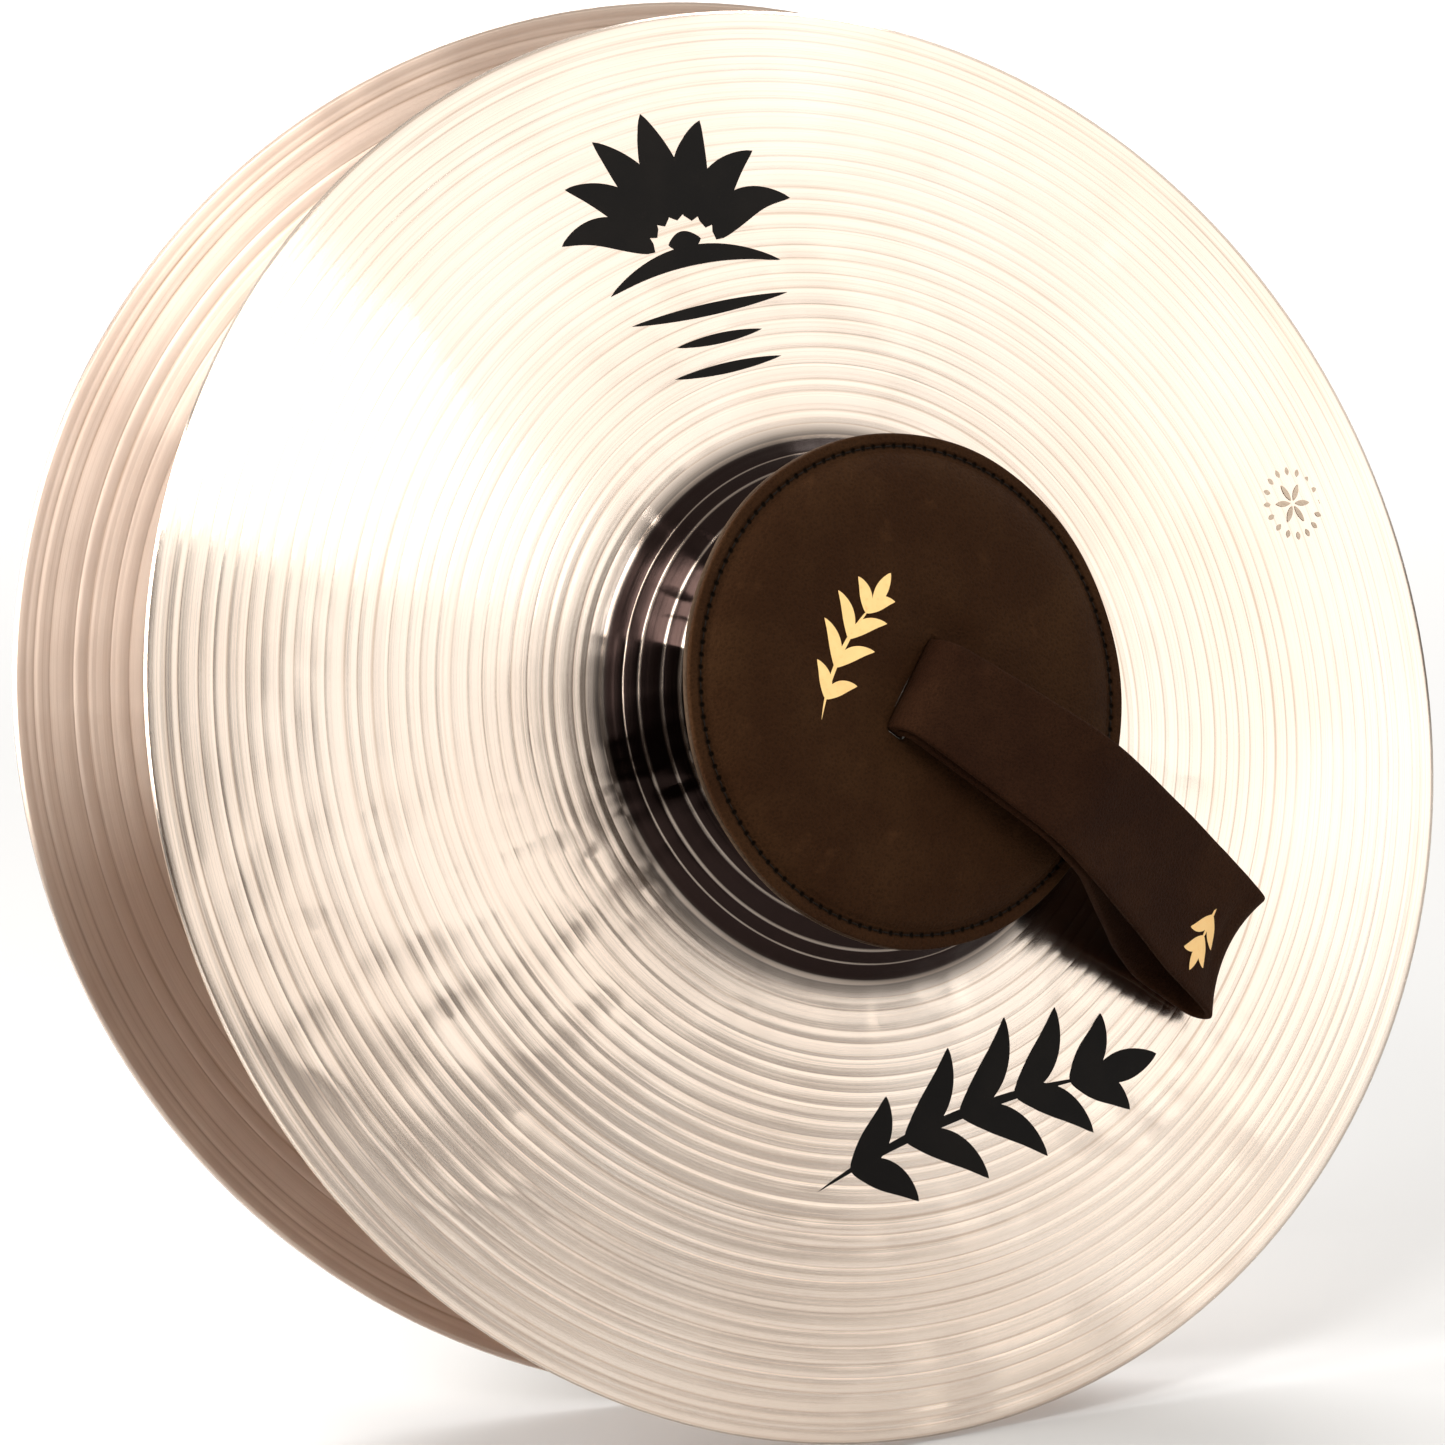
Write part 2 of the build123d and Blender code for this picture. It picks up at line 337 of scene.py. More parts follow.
def pad_leather(name, seat):
    """The pad's leather, with its needle holes along the seam, and painted shade darkening the seam line
    and the holes.
    """
    n = Nodes(leather(name, dark=(0.0235, 0.0092, 0.0038), light=(0.0335, 0.0146, 0.0060),
                      grain=1150.0, depth=0.28, roughness=0.60, specular=0.045))
    x, y = n.flat(n.coords(seat))
    # distance from the nearest hole, along the seam and across it
    turn = n.times(n.math("ARCTAN2", y, x), STITCHES / FULL_TURN)
    whole_turns = 1000.0                                             # keeps FRACT's input positive
    step = n.math("ABSOLUTE", n.math("SUBTRACT", n.math("FRACT", n.plus(turn, whole_turns)), 0.5))
    along = n.times(n.math("SUBTRACT", 0.5, step), FULL_TURN * STITCH_RADIUS / STITCHES)
    across = n.math("SUBTRACT", n.times(n.length(x, y), 1 / MM), STITCH_RADIUS)
    hole = n.ramp(n.length(along, across), 0.32, 0.85, 1.0, 0.0)
    seam = n.ramp(n.math("ABSOLUTE", across), 0.2, 1.1, 1.0, 0.0)
    colour, old_normal = (n.shader.inputs[key].links[0].from_socket for key in ("Base Color", "Normal"))
    # painted shade: the seam line darkened and the needle holes made near-black, for the shade in the
    # groove and in the holes
    colour = n.mix(n.times(seam, 0.35), colour, (0.008, 0.005, 0.003))
    colour = n.mix(hole, colour, (0.001, 0.0008, 0.0006))
    normal = n.bump(n.plus(hole, n.times(seam, 0.5)), -0.5 * MM, 1.0, old_normal)
    return n.set(Base_Color=colour, Normal=normal)


def thread():
    """Waxed twisted thread."""
    n = new_material("waxed_thread")
    ply = n.noise(n.coords(), 2600.0)
    tone = n.mix(n.ramp(ply, 0.35, 0.65), (0.004, 0.0025, 0.0015), (0.010, 0.006, 0.0035))
    return n.set(Base_Color=tone, Roughness=n.ramp(ply, 0.3, 0.7, 0.5, 0.7), Specular_IOR_Level=0.12,
                 Normal=n.bump(ply, 0.12 * MM))


def felt():
    """Grey felt with a soft fuzz."""
    n = new_material("grey_felt")
    fuzz = n.noise(n.coords(), 900.0, detail=6.0, roughness=0.75)
    tone = n.mix(n.ramp(fuzz, 0.3, 0.7), (0.16, 0.145, 0.13), (0.34, 0.32, 0.29))
    return n.set(Base_Color=tone, Roughness=0.95, Specular_IOR_Level=0.1, Normal=n.bump(fuzz, 0.6 * MM),
                 Sheen_Weight=0.3, Sheen_Roughness=0.6)


def ink(name, colour, worn, roughness, metallic, specular):
    """Printed or foiled mark, slightly broken up by the surface beneath."""
    n = new_material(name)
    p = n.coords()
    speck = n.noise(p, 700.0, detail=5.0, roughness=0.7)
    cloud = n.noise(p, 60.0)
    tone = n.mix(n.ramp(speck, 0.60, 0.78), colour, worn)
    tone = n.mix(n.times(n.ramp(cloud, 0.4, 0.7), 0.25), tone, worn)
    return n.set(Base_Color=tone, Metallic=metallic, Specular_IOR_Level=specular,
                 Roughness=n.ramp(speck, 0.3, 0.7, roughness - 0.08, roughness + 0.12),
                 Normal=n.bump(speck, 0.05 * MM))


# --- Cymbal plates -------------------------------------------------------------------------------
INNER_RIM = RIM_RADIUS - PLATE * math.sin(RIM_SLOPE)
COVE_AT = INNER_RIM - BOW_RADIUS * (math.sin(RIM_SLOPE) - math.sin(BOW_SLOPE))
BELL_AT = COVE_AT - COVE_RADIUS * (math.sin(BELL_SLOPE) - math.sin(BOW_SLOPE))
BELL_RADIUS = BELL_AT / math.sin(BELL_SLOPE)
BOW_TOP = BOW_RADIUS * (math.cos(BOW_SLOPE) - math.cos(RIM_SLOPE))
COVE_TOP = BOW_TOP + COVE_RADIUS * (math.cos(BOW_SLOPE) - math.cos(BELL_SLOPE))
RING_SPACING, COVE_RINGS, PLATE_AROUND = 0.95, 12, 184


def plate_profile():
    """Inner face from rim to bore: radius, height and slope at points about RING_SPACING apart."""
    bore_slope = math.asin(BORE_RADIUS / BELL_RADIUS)
    rows = []
    for s in np.linspace(RIM_SLOPE, BOW_SLOPE, int((INNER_RIM - COVE_AT) / RING_SPACING)):
        rows.append((INNER_RIM - BOW_RADIUS * (math.sin(RIM_SLOPE) - math.sin(s)),
                     BOW_RADIUS * (math.cos(s) - math.cos(RIM_SLOPE)), s))
    for s in np.linspace(BOW_SLOPE, BELL_SLOPE, COVE_RINGS)[1:]:
        rows.append((COVE_AT - COVE_RADIUS * (math.sin(s) - math.sin(BOW_SLOPE)),
                     BOW_TOP + COVE_RADIUS * (math.cos(BOW_SLOPE) - math.cos(s)), s))
    for s in np.linspace(BELL_SLOPE, bore_slope, int(BELL_AT / RING_SPACING))[1:]:
        rows.append((BELL_RADIUS * math.sin(s),
                     COVE_TOP + BELL_RADIUS * (math.cos(s) - math.cos(BELL_SLOPE)), s))
    return np.array(rows)


PROFILE = plate_profile()
OUTER_R = (PROFILE[:, 0] + PLATE * np.sin(PROFILE[:, 2]))[::-1]
OUTER_H = (PROFILE[:, 1] + PLATE * np.cos(PROFILE[:, 2]))[::-1]

SCALLOP_HEIGHT, MEAN_SCALLOP = 0.028, 0.64            # the mean keeps the plate's thickness
SCALLOP_FADE = 3                                      # to a plain edge at the rim and the bore
EDGE_RINGS, EDGE_BULGE, EDGE_SET_BACK = 5, 0.6, 0.9
HAMMERED = 0.05                                       # how far hammering leaves the bow out of true
HAMMER_PHASE = {"front": 0.0, "rear": 2.1}


def outer_height(r):
    return np.interp(r, OUTER_R, OUTER_H)


def make_plate(side, matrix):
    """Closed shell: outer face with the lathe's scallops, rounded rim, inner face, bore."""
    r, h, s = PROFILE.T
    tool = SCALLOP_HEIGHT * (np.abs(np.sin(np.pi * r / LATHE_PITCH)) - MEAN_SCALLOP) \
        * smooth(RIM_RADIUS, RIM_RADIUS - SCALLOP_FADE, r) \
        * smooth(BORE_RADIUS, BORE_RADIUS + SCALLOP_FADE, r)
    out_r, out_h = r + (PLATE + tool) * np.sin(s), h + (PLATE + tool) * np.cos(s)
    in_r, in_h = r - tool * np.sin(s), h - tool * np.cos(s)
    rings = list(zip(out_r[::-1], out_h[::-1]))
    mid = np.array([(out_r[0] + in_r[0]) / 2, (out_h[0] + in_h[0]) / 2])
    across = np.array([out_r[0] - in_r[0], out_h[0] - in_h[0]]) / 2
    forward = np.array([across[1], -across[0]])
    for turn in np.linspace(math.pi / 2, -math.pi / 2, EDGE_RINGS + 2)[1:-1]:
        rings.append(tuple(mid + across * math.sin(turn)
                           + forward * (math.cos(turn) - EDGE_SET_BACK) * EDGE_BULGE))
    rings += list(zip(in_r, in_h))
    angles = ring_angles(PLATE_AROUND)
    ca, sa = np.cos(angles), np.sin(angles)
    verts = np.concatenate([np.stack([q * ca, q * sa, np.full(PLATE_AROUND, z)], 1) for q, z in rings])
    polar = np.arctan2(verts[:, 1], verts[:, 0])
    reach = np.hypot(verts[:, 0], verts[:, 1])
    phase = HAMMER_PHASE[side]
    slow, quick = np.sin(3 * polar + phase), np.sin(7 * polar + 2 * phase)
    verts[:, 2] += HAMMERED * smooth(80, 150, reach) * (slow + 0.6 * quick * smooth(175, 150, reach))
    faces = ring_faces(len(rings), PLATE_AROUND, closed_rings=True)
    plate = make_object(f"{side}_plate_skin", verts, faces, matrix)

    plate.data.materials.append(bronze(f"{side}_lathed_bronze", matrix, **OUTER_BRONZE))
    plate.data.materials.append(bronze(f"{side}_lathed_bronze_inside", matrix, **INNER_BRONZE))
    outside = len(out_r) * PLATE_AROUND
    plate.data.polygons.foreach_set("material_index", [0] * outside + [1] * (len(faces) - outside))
    # U runs round the lathe, for the grain of the metal; the last face of a ring ends at 1
    lathe = plate.data.uv_layers.new(name=LATHE_UV)
    for face in plate.data.polygons:
        ring, step = divmod(face.index, PLATE_AROUND)
        for corner in face.loop_indices:
            row, column = divmod(plate.data.loops[corner].vertex_index, PLATE_AROUND)
            if column == 0 and step == PLATE_AROUND - 1:
                column = PLATE_AROUND
            if row == 0 and ring == len(rings) - 1:
                row = len(rings)
            lathe.data[corner].uv = (column / PLATE_AROUND, row / len(rings))
    return plate


# --- Ornaments: leaves and strokes that lie on a surface -----------------------------------------
def leaf(p0, p1, bend, width, sharp=1.0, steps=22, across=4):
    """Flat leaf between two points: grid of 2-D points and quads. bend bows its spine sideways,
    sharp below 1 moves its widest place towards p0."""
    a, b = np.array(p0, float), np.array(p1, float)
    side = np.array([-(b - a)[1], (b - a)[0]])
    t = np.linspace(0, 1, steps)
    spine = a + np.outer(t, b - a) + np.outer(4 * t * (1 - t) * bend, side)
    run = np.gradient(spine, axis=0)
    run /= np.linalg.norm(run, axis=1)[:, None]
    normal = np.stack([-run[:, 1], run[:, 0]], 1)
    least = 0.02
    half = 0.5 * width * np.sin(np.pi * t ** sharp) ** 0.8 + least
    grid = [spine + normal * (half * k)[:, None] for k in np.linspace(-1, 1, across + 1)]
    faces = [(i * steps + j, i * steps + j + 1, (i + 1) * steps + j + 1, (i + 1) * steps + j)
             for i in range(across) for j in range(steps - 1)]
    return np.concatenate(grid), faces


STROKE_LIFT = 0.008


def merge(parts):
    """One ornament from its strokes, each laid a hair above the one before."""
    verts, faces, count = [], [], 0
    for k, (v, f) in enumerate(parts):
        verts.append(np.column_stack([v, np.full(len(v), STROKE_LIFT * k)]))
        faces += [tuple(i + count for i in q) for q in f]
        count += len(v)
    return np.concatenate(verts), faces


def placed(shape, centre, degrees):
    """The ornament turned by degrees and moved to a centre."""
    v, f = shape
    c, s = math.cos(math.radians(degrees)), math.sin(math.radians(degrees))
    flat = v[:, :2] @ np.array([[c, s], [-s, c]]) + np.array(centre)
    return np.column_stack([flat, v[:, 2]]), f


def palmette():
    """Fan of seven leaves over a curved cross stroke, with a short one at its heart."""
    parts = []
    for k in range(-3, 4):
        lean, length = math.radians(25 * k), 37 - 1.2 * abs(k)
        tip = (math.sin(lean) * length, math.cos(lean) * length)
        root = (math.sin(lean) * 9, math.cos(lean) * 9)
        parts.append(leaf(root, tip, bend=0.06 * k, width=10.5 - 0.8 * abs(k), sharp=0.75))
    parts.append(leaf((-24, -6), (24, -6), bend=0.12, width=5.0))
    parts.append(leaf((-4.5, 3.4), (4.5, 3.4), bend=0.0, width=5.4))
    return merge(parts)


def rules():
    """Three plain rules, each shorter than the top one."""
    return merge([leaf((-half, y), (half, y), bend=0.0, width=width)
                  for half, y, width in ((22, 0, 3.0), (12, -7.5, 2.6), (15, -15, 2.6))])


def branch(pairs, length, leaf_length, leaf_width, bow):
    """Curved stem with leaves in pairs and one at its tip."""
    parts = [leaf((-length / 2, 0), (length / 2, 0), bow, leaf_width * 0.32, steps=40)]
    for k in range(pairs):
        t = (k + 0.6) / pairs
        x = -length / 2 + length * t
        y = 4 * t * (1 - t) * bow * length
        size = leaf_length * (0.75 + 0.5 * math.sin(math.pi * t))
        for way in (-1, 1):
            tip = (x + 0.82 * size, y + way * 0.72 * size)
            parts.append(leaf((x, y), tip, bend=-0.12 * way, width=leaf_width, sharp=0.85))
    tip = (length / 2 + leaf_length, -bow * leaf_length)
    parts.append(leaf((length / 2 - 1, 0), tip, bend=0.0, width=leaf_width))
    return merge(parts)


def stamp():
    """Small struck ring of dots with a star inside."""
    def spokes(count, inner, outer, width, **grid):
        for k in range(count):
            c, s = math.cos(FULL_TURN * k / count), math.sin(FULL_TURN * k / count)
            yield leaf((inner * c, inner * s), (outer * c, outer * s), bend=0.0, width=width, **grid)

    return merge([*spokes(16, 7.4, 9.6, 1.3, steps=8, across=2), *spokes(6, 0.8, 5.6, 1.5)])


def on_plate(name, shape, matrix, lift=0.09):
    v, f = shape
    z = outer_height(np.hypot(v[:, 0], v[:, 1])) + lift + v[:, 2]
    return make_object(name, np.column_stack([v[:, :2], z]), f, matrix)


# --- Pads ----------------------------------------------------------------------------------------
SLOT_X, SLOT_Y, SLOT_RING = 2.7, 13.0, 20             # half sizes of the slot; circle drawn round it
MARGIN = 57.3                                         # where the stuffing ends
COVER_CROWN, UNDER_CROWN = 5.7, 3.0
PAD_AROUND = 250
PAD_SOFT_SEED = {"front": 4.0, "rear": 9.0}


def pad_top(r, crown=COVER_CROWN):
    """Height of the stuffed face over the seam."""
    t = np.clip(np.asarray(r, float) / MARGIN, 0, 1)
    return LEATHER + (crown - LEATHER) * np.clip(1 - t ** 6.5, 0, 1) ** 0.62


def pad_outline(k, angles):
    """Outline between the strap's slot (k 0) and the circle round it (k 1)."""
    a, b = SLOT_X + (SLOT_RING - SLOT_X) * k, SLOT_Y + (SLOT_RING - SLOT_Y) * k
    power = 2 / (2 + 5 * (1 - k) ** 2)
    c, s = np.cos(angles), np.sin(angles)
    return a * np.sign(c) * np.abs(c) ** power, b * np.sign(s) * np.abs(s) ** power


def slot_distance(x, y):
    return np.hypot(np.maximum(np.abs(x) - SLOT_X, 0), np.maximum(np.abs(y) - SLOT_Y, 0))


def make_pad(side, matrix, upper):
    """One leather of the pad, as a closed shell with its slot; upper is the puffed cover."""
    angles = ring_angles(PAD_AROUND)
    ca, sa = np.cos(angles), np.sin(angles)
    out = 1 if upper else -1
    crown, dip_depth = (COVER_CROWN, 1.25) if upper else (UNDER_CROWN, 0.5)
    rings = []

    def ring(x, y, z):
        rings.append(np.stack([x, y, z], 1))

    def face(x, y):
        """Height of the outer face: swollen, dipped at the slot, grooved and puckered at the seam."""
        r = np.hypot(x, y)
        dip = dip_depth * (1 - smooth(0, 12, slot_distance(x, y)))
        groove = 0.30 * np.exp(-((r - STITCH_RADIUS) / 0.8) ** 2)
        pucker = 0.10 * np.cos(np.arctan2(y, x) * STITCHES) \
            * np.exp(-((r - STITCH_RADIUS + 1.2) / 1.5) ** 2)
        lumps = np.array([noise.noise(Vector((a * 0.045, b * 0.045, PAD_SOFT_SEED[side])))
                          for a, b in zip(x, y)])
        return out * (pad_top(r, crown) - dip - groove) + pucker + 0.16 * lumps * smooth(60, 50, r)

    # slot: from inside the leather up to its lip, then outwards to the circle round it
    inward = -LEATHER * out
    x, y = pad_outline(0, angles)
    ring(x, y, face(x, y) + inward * 1.2)
    ring(x * 0.985, y * 0.995, face(x, y) + inward * 0.55)
    for k in (0.0, 0.03, 0.08, 0.16, 0.26, 0.38, 0.50, 0.62, 0.75, 0.88):
        x, y = pad_outline(k, angles)
        lip = inward * 0.30 * (1 - smooth(0, 0.06, k))
        ring(x, y, face(x, y) + lip)
    # stuffed face, margin and cut edge
    for r in [*np.linspace(SLOT_RING, 44, 18), *np.linspace(45, MARGIN - 0.4, 22),
              *np.linspace(MARGIN, 61.4, 14)]:
        ring(r * ca, r * sa, face(r * ca, r * sa))
    wobble = 0.12 * np.sin(5 * angles) + 0.08 * np.sin(11 * angles + 1)
    edge = LEATHER * out
    for r, z in ((PAD_RADIUS - 0.2, edge * 0.96), (PAD_RADIUS, edge * 0.78), (PAD_RADIUS, edge * 0.3),
                 (PAD_RADIUS - 0.15, edge * 0.06), (PAD_RADIUS - 0.6, 0.0), (MARGIN, 0.0)):
        ring((r + wobble) * ca, (r + wobble) * sa, np.full(PAD_AROUND, z))
    # inner face, back to the slot
    for r in (50.0, 40.0, 30.0, 20.0):
        ring(r * ca, r * sa, np.full(PAD_AROUND, out * (pad_top(r, crown) - LEATHER * 1.2)))
    x, y = pad_outline(0.3, angles)
    ring(x, y, face(x, y) + inward * 1.3)
    name = f"{side}_pad_top" if upper else f"{side}_pad_underside"
    faces = [f[::out] for f in ring_faces(len(rings), PAD_AROUND, closed_rings=True)]
    return make_object(name, np.concatenate(rings), faces, matrix)


def make_stitches(side, matrix):
    """Thread lying in the seam on both faces: one rounded stitch between each two holes."""
    verts, faces = [], []
    pitch = FULL_TURN / STITCHES
    length = pitch * STITCH_RADIUS * 0.84
    thickness, rows, sides = 0.15, 9, 8
    for face in (1, -1):
        for k in range(STITCHES):
            mid = (k + 0.5) * pitch
            first = len(verts)
            for i in range(rows):
                t = i / (rows - 1)
                along = (t - 0.5) * length
                thick = thickness * math.sin(math.pi * min(max(t, 0.04), 0.96)) ** 0.35
                sunk = 0.24 - 0.14 * math.sin(math.pi * t) + 0.55 * abs(2 * t - 1) ** 4
                height = face * (LEATHER - sunk)
                centre = mid + along / STITCH_RADIUS
                for j in range(sides):
                    a = FULL_TURN * j / sides
                    r = STITCH_RADIUS + thick * 1.15 * math.cos(a)
                    verts.append((r * math.cos(centre), r * math.sin(centre),
                                  height + thick * math.sin(a)))
            for i in range(rows - 1):
                for j in range(sides):
                    m = (j + 1) % sides
                    a, b = first + i * sides, first + (i + 1) * sides
                    faces.append((a + j, b + j, b + m, a + m))
            faces.append(tuple(first + j for j in range(sides)))
            faces.append(tuple(first + (rows - 1) * sides + j for j in reversed(range(sides))))
    return make_object(f"{side}_seam_thread", np.array(verts), faces, matrix)


# --- Straps --------------------------------------------------------------------------------------
def distance_along(line):
    return np.concatenate([[0], np.cumsum(np.linalg.norm(np.diff(line, axis=0), axis=1))])


def filleted(corners, radii, spacing):
    """Polyline with its corners rounded, as 2-D points at an even spacing."""
    pts = [np.array(p, float) for p in corners]
    line = [pts[0]]
    for k in range(1, len(pts) - 1):
        a, b = pts[k - 1] - pts[k], pts[k + 1] - pts[k]
        la, lb = np.linalg.norm(a), np.linalg.norm(b)
        a, b = a / la, b / lb
        half = math.acos(max(-1, min(1, float(a @ b)))) / 2
        reach = min(radii[k - 1] / math.tan(half), 0.49 * la, 0.49 * lb)
        radius = reach * math.tan(half)
        middle = (a + b) / np.linalg.norm(a + b)
        centre = pts[k] + middle * (radius / math.sin(half))
        start, end = pts[k] + a * reach, pts[k] + b * reach
        a0 = math.atan2(*(start - centre)[::-1])
        sweep = (math.atan2(*(end - centre)[::-1]) - a0 + math.pi) % FULL_TURN - math.pi
        for t in np.linspace(0, 1, max(3, int(abs(sweep) * radius / spacing) + 2)):
            angle = a0 + sweep * t
            line.append(centre + radius * np.array([math.cos(angle), math.sin(angle)]))
    line.append(pts[-1])
    line = np.array(line)
    run = distance_along(line)
    keep = np.concatenate([[True], np.diff(run) > 1e-6])
    line, run = line[keep], run[keep]
    even = np.linspace(0, run[-1], int(run[-1] / spacing) + 1)
    return np.stack([np.interp(even, run, line[:, 0]), np.interp(even, run, line[:, 1])], 1)


# the grip in the loop's side view, from the slot out and back, and the radius at each corner
STRAP_CORNERS = [(-1.08, -8.5), (-1.08, 2.9), (14, 3.0), (50, 1.8), (80, -12.6), (121.3, -33.6),
                 (118.6, -39.8), (100, -38.2), (88, -31.0), (61, -6.6), (48, -1.6), (4, -1.2),
                 (1.08, -2.6), (1.08, -8.5)]
STRAP_RADII = [5.8, 40, 34, 60, 3.2, 3.2, 14, 20, 14, 14, 2.2, 1.6]
STRAP_SPACING = 0.9
HALF_STRAP = (STRAP - 0.15) / 2


def strap_path():
    """Centreline of the whole grip, softened."""
    path = filleted(STRAP_CORNERS, STRAP_RADII, STRAP_SPACING)
    for _ in range(3):
        path[1:-1] = 0.25 * path[:-2] + 0.5 * path[1:-1] + 0.25 * path[2:]
    return path


def strap_half_width(x):
    return 0.5 * (ROOT_WIDTH + (END_WIDTH - ROOT_WIDTH) * np.clip(x / FULL_WIDTH_AT, 0, 1))


def strap_point(path, i, s, lift):
    """Point on the strap: i along it (may be fractional), s across from -1 to 1, lift off its middle."""
    index = np.arange(len(path))
    px, py = np.interp(i, index, path[:, 0]), np.interp(i, index, path[:, 1])
    run = np.gradient(path, axis=0)
    tx, ty = np.interp(i, index, run[:, 0]), np.interp(i, index, run[:, 1])
    size = np.hypot(tx, ty)
    nx, ny = -ty / size, tx / size
    cup = 0.55 * smooth(12, 60, px) * (s * s - 0.4)
    hollow = 3.6 * smooth(88, 121, px) * (1 - s * s) * smooth(112, 121, px + 5)   # of the far end
    x = px + nx * (lift + cup) - hollow
    y = py + ny * (lift + cup)
    z = s * strap_half_width(px)
    return x, y, z


def make_strap(side, matrix):
    """Leather band swept along the grip, with softly rounded edges."""
    path = strap_path()
    section = [(s, HALF_STRAP) for s in np.linspace(-0.955, 0.955, 15)]
    section += [(0.985, HALF_STRAP * 0.82), (1.0, HALF_STRAP * 0.35),
                (1.0, -HALF_STRAP * 0.35), (0.985, -HALF_STRAP * 0.82)]
    section += [(-s, -lift) for s, lift in section]
    index = np.arange(len(path), dtype=float)
    wave = 0.10 * np.sin(index * 0.11 + (0.4 if side == "front" else 1.7))
    rows = []
    for s, lift in section:
        x, y, z = strap_point(path, index, s, lift)
        ripple = 0.12 * np.sin(index * 0.21 + 3 * s) * smooth(10, 40, x)
        rows.append(np.stack([x, y + ripple, z + wave * abs(s) ** 6], 1))
    verts = np.array(rows).transpose(1, 0, 2).reshape(-1, 3)
    count = len(section)
    faces = ring_faces(len(path), count)
    faces.append(tuple(range(count - 1, -1, -1)))
    faces.append(tuple((len(path) - 1) * count + j for j in range(count)))
    return make_object(f"{side}_strap_grip", verts, [f[::-1] for f in faces], matrix)


def on_strap(name, shape, matrix, start, lift=0.07):
    """Mark on the strap's upper face; the shape's x runs along the strap from distance start."""
    path = strap_path()
    index = np.arange(len(path))
    v, f = shape
    i = np.interp(start + v[:, 0], distance_along(path), index)
    s = v[:, 1] / strap_half_width(np.interp(i, index, path[:, 0]))
    x, y, z = strap_point(path, i, s, HALF_STRAP + lift + v[:, 2])
    return make_object(name, np.stack([x, y, z], 1), f, matrix, facing=Vector((0, 1, 0)))


# --- Both cymbals --------------------------------------------------------------------------------
lining_leather = leather("rough_leather", dark=(0.030, 0.019, 0.012), light=(0.055, 0.036, 0.024),
                         grain=900.0, depth=0.22, roughness=0.85, specular=0.15)
strap_leather = leather("strap_leather", dark=(0.0180, 0.0066, 0.0034), light=(0.0275, 0.0112, 0.0054),
                        grain=1350.0, depth=0.36, roughness=0.68, specular=0.040, creases=0.10)
seam_thread = thread()
core_felt = felt()
black_ink = ink("black_ink", (0.004, 0.0032, 0.0028), worn=(0.012, 0.009, 0.007),
                roughness=0.40, metallic=0.0, specular=0.09)
gold_foil = ink("gold_foil", (0.98, 0.66, 0.29), worn=(0.70, 0.42, 0.17),
                roughness=0.40, metallic=1.0, specular=0.5)
struck_mark = ink("struck_mark", (0.52, 0.42, 0.33), worn=(0.72, 0.60, 0.48),
                  roughness=0.5, metallic=1.0, specular=0.5)

# ornaments of a plate: shape, centre on its seat, degrees
PLATE_BRANCH = branch(pairs=5, length=82, leaf_length=20, leaf_width=7.6, bow=0.05)
PLATE_MARKS = {"palm": (palmette(), (-24, 115), 8), "rules": (rules(), (-21, 101), 8),
               "branch": (PLATE_BRANCH, (14, -106), 13)}
STRUCK_AT = (141, 42)
PAD_BRANCH = placed(branch(pairs=4, length=32, leaf_length=9.0, leaf_width=3.4, bow=0.08),
                    centre=(-20.5, -5.5), degrees=92)
PAD_BRANCH_LIFT = 0.12
STRAP_SPRIG = placed(branch(pairs=2, length=12, leaf_length=7.5, leaf_width=3.2, bow=0.0),
                     centre=(0, 0), degrees=90)
FOLD_FROM, FOLD_TO = 3, 22                            # two distances along the strap from its root; the points they give below are not used
STRAP_SPRIG_AT = 121


def finish_piece(obj, material, body):
    """Give a piece its material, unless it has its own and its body."""
    if material is not None:
        obj.data.materials.append(material)
    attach(obj, body)
    return obj


def dress_node(name, material):
    """Give one of the frame's own solids a material."""
    materials = frame["nodes"][name].data.materials
    materials.clear()
    materials.append(material)


